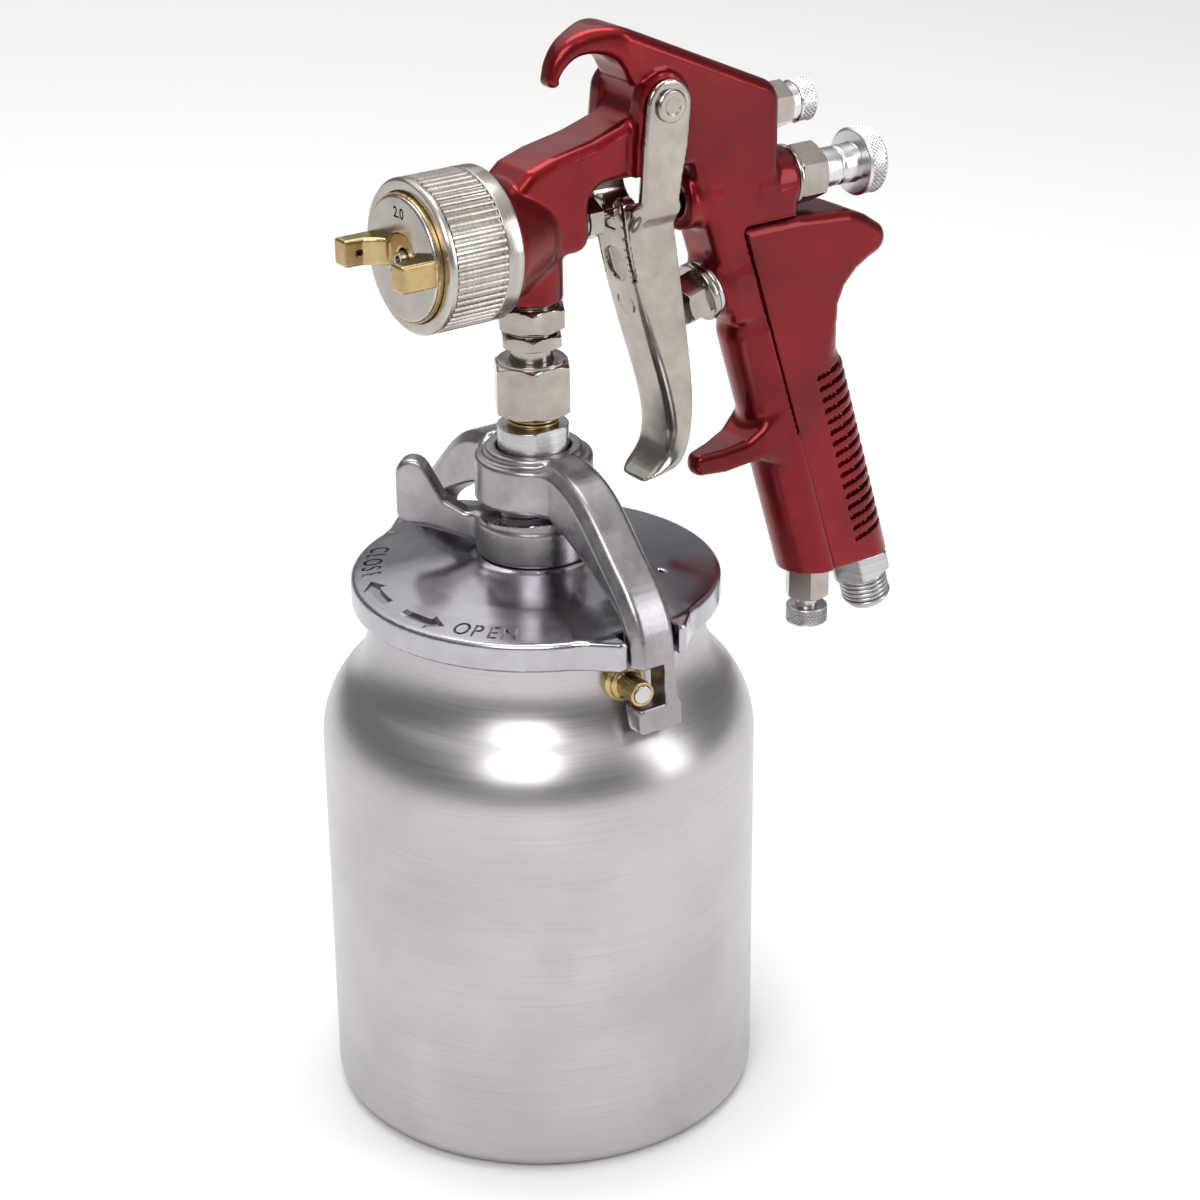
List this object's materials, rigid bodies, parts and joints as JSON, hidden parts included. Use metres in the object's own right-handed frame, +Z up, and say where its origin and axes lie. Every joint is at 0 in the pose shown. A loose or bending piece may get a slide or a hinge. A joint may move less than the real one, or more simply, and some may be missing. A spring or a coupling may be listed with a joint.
{
  "type": "suction feed spray gun with cup",
  "caption": "Suction-feed spray gun with hanging hook and trigger, on a one litre cup with a cam-locked yoke lid.",
  "frame": {"origin": "centre of the cup's base, on the cup's axis", "axes": "+Z up along the cup's axis, nozzle towards -X, handle towards +X"},
  "size_m": [0.1678, 0.108, 0.2723],
  "materials": {
    "spun_aluminium": "brushed",
    "polished_alloy": "polished",
    "die_cast_alloy": "satin",
    "turned_aluminium": "satin",
    "nickel_plate": "satin",
    "polished_steel": "polished",
    "spring_steel": "satin",
    "brass": "satin",
    "red_lacquer": "gloss",
    "gasket_nylon": "matte",
    "gasket_fibre": "matte",
    "packing_ptfe": "matte"
  },
  "bodies": {
    "cup": {"cup": "spun_aluminium", "cup_studs": "brass", "stud_pins": "polished_steel"},
    "gun": {"lid": "polished_alloy", "lid_gasket": "gasket_nylon", "post": "die_cast_alloy", "post_nut": "nickel_plate", "stem": "brass", "siphon_tube": "polished_steel", "coupling_nut": "nickel_plate", "fluid_inlet": "nickel_plate", "inlet_locknut": "nickel_plate", "gun_body": "red_lacquer", "grip_back": "red_lacquer", "fluid_nozzle": "brass", "nozzle_gasket": "gasket_fibre", "air_baffle": "brass", "needle_packing": "packing_ptfe", "packing_gland": "nickel_plate", "needle_spring": "spring_steel", "fluid_bush": "nickel_plate", "trigger_pin": "nickel_plate", "pin_clip": "spring_steel", "valve_body": "nickel_plate", "valve_washer": "nickel_plate", "valve_spring": "spring_steel", "fan_bush": "nickel_plate", "air_bush": "nickel_plate", "air_inlet": "turned_aluminium"},
    "cam_lever": {"cam_lever": "die_cast_alloy"},
    "yoke": {"yoke": "die_cast_alloy"},
    "trigger": {"trigger": "nickel_plate"},
    "needle": {"fluid_needle": "polished_steel"},
    "valve_stem": {"valve_stem": "polished_steel"},
    "cap_ring": {"cap_ring": "nickel_plate"},
    "air_cap": {"air_cap": "brass"},
    "fluid_stop": {"spring_seat": "nickel_plate"},
    "fluid_knob": {"fluid_knob": "turned_aluminium"},
    "fan_stem": {"fan_stem": "polished_steel"},
    "fan_knob": {"fan_knob": "turned_aluminium"},
    "air_stem": {"air_stem": "polished_steel"},
    "air_knob": {"air_knob": "turned_aluminium"}
  },
  "joints": [
    {"name": "cup_twist", "type": "hinge", "parent": "cup", "child": "gun", "pos_m": [0, 0, 0.136], "axis": [0, 0, 1], "range_deg": [0, 25]},
    {"name": "cam_lever_turn", "type": "hinge", "parent": "gun", "child": "cam_lever", "pos_m": [0, 0, 0.15], "axis": [0, 0, 1], "range_deg": [0, 80]},
    {"name": "yoke_drop", "type": "slide", "parent": "gun", "child": "yoke", "axis": [0, 0, -1], "range_m": [0, 0.0016]},
    {"name": "trigger_pull", "type": "hinge", "parent": "gun", "child": "trigger", "pos_m": [0.0322, 0, 0.2529], "axis": [0, -1, 0], "range_deg": [0, 6.2], "stiffness_Nm_per_rad": 0.4, "springref_deg": -11.46},
    {"name": "needle_draw", "type": "slide", "parent": "gun", "child": "needle", "axis": [1, 0, 0], "range_m": [0, 0.0033], "deforming": ["needle_spring"]},
    {"name": "valve_push", "type": "slide", "parent": "gun", "child": "valve_stem", "axis": [0.9581, 0, 0.2865], "range_m": [0, 0.0063], "deforming": ["valve_spring"]},
    {"name": "cap_ring_turn", "type": "hinge", "parent": "gun", "child": "cap_ring", "pos_m": [-0.02, 0, 0.2256], "axis": [-1, 0, 0], "range_deg": [0, 720]},
    {"name": "air_cap_turn", "type": "hinge", "parent": "gun", "child": "air_cap", "pos_m": [-0.03, 0, 0.2256], "axis": [-1, 0, 0], "range_deg": [-90, 90]},
    {"name": "fluid_stop_travel", "type": "slide", "parent": "gun", "child": "fluid_stop", "axis": [1, 0, 0], "range_m": [0, 0.002]},
    {"name": "fluid_knob_turn", "type": "hinge", "parent": "fluid_stop", "child": "fluid_knob", "pos_m": [0.09, 0, 0.2256], "axis": [-1, 0, 0], "range_deg": [0, 720]},
    {"name": "fan_stem_travel", "type": "slide", "parent": "gun", "child": "fan_stem", "axis": [1, 0, 0], "range_m": [0, 0.002]},
    {"name": "fan_knob_turn", "type": "hinge", "parent": "fan_stem", "child": "fan_knob", "pos_m": [0.08, 0, 0.2442], "axis": [-1, 0, 0], "range_deg": [0, 720]},
    {"name": "air_stem_travel", "type": "slide", "parent": "gun", "child": "air_stem", "axis": [0, 0, -1], "range_m": [0, 0.002]},
    {"name": "air_knob_turn", "type": "hinge", "parent": "air_stem", "child": "air_knob", "pos_m": [0.08639, 0, 0.105], "axis": [0, 0, 1], "range_deg": [0, 720]}
  ],
  "couplings": [
    {"joint": "yoke_drop", "follows": "cam_lever_turn", "m_per_rad": 0.0011458},
    {"joint": "needle_draw", "follows": "trigger_pull", "m_per_rad": 0.029},
    {"joint": "valve_push", "follows": "trigger_pull", "m_per_rad": 0.0555},
    {"joint": "fluid_stop_travel", "follows": "fluid_knob_turn", "m_per_rad": 0.00015914},
    {"joint": "fan_stem_travel", "follows": "fan_knob_turn", "m_per_rad": 0.00015914},
    {"joint": "air_stem_travel", "follows": "air_knob_turn", "m_per_rad": 0.00015914}
  ]
}
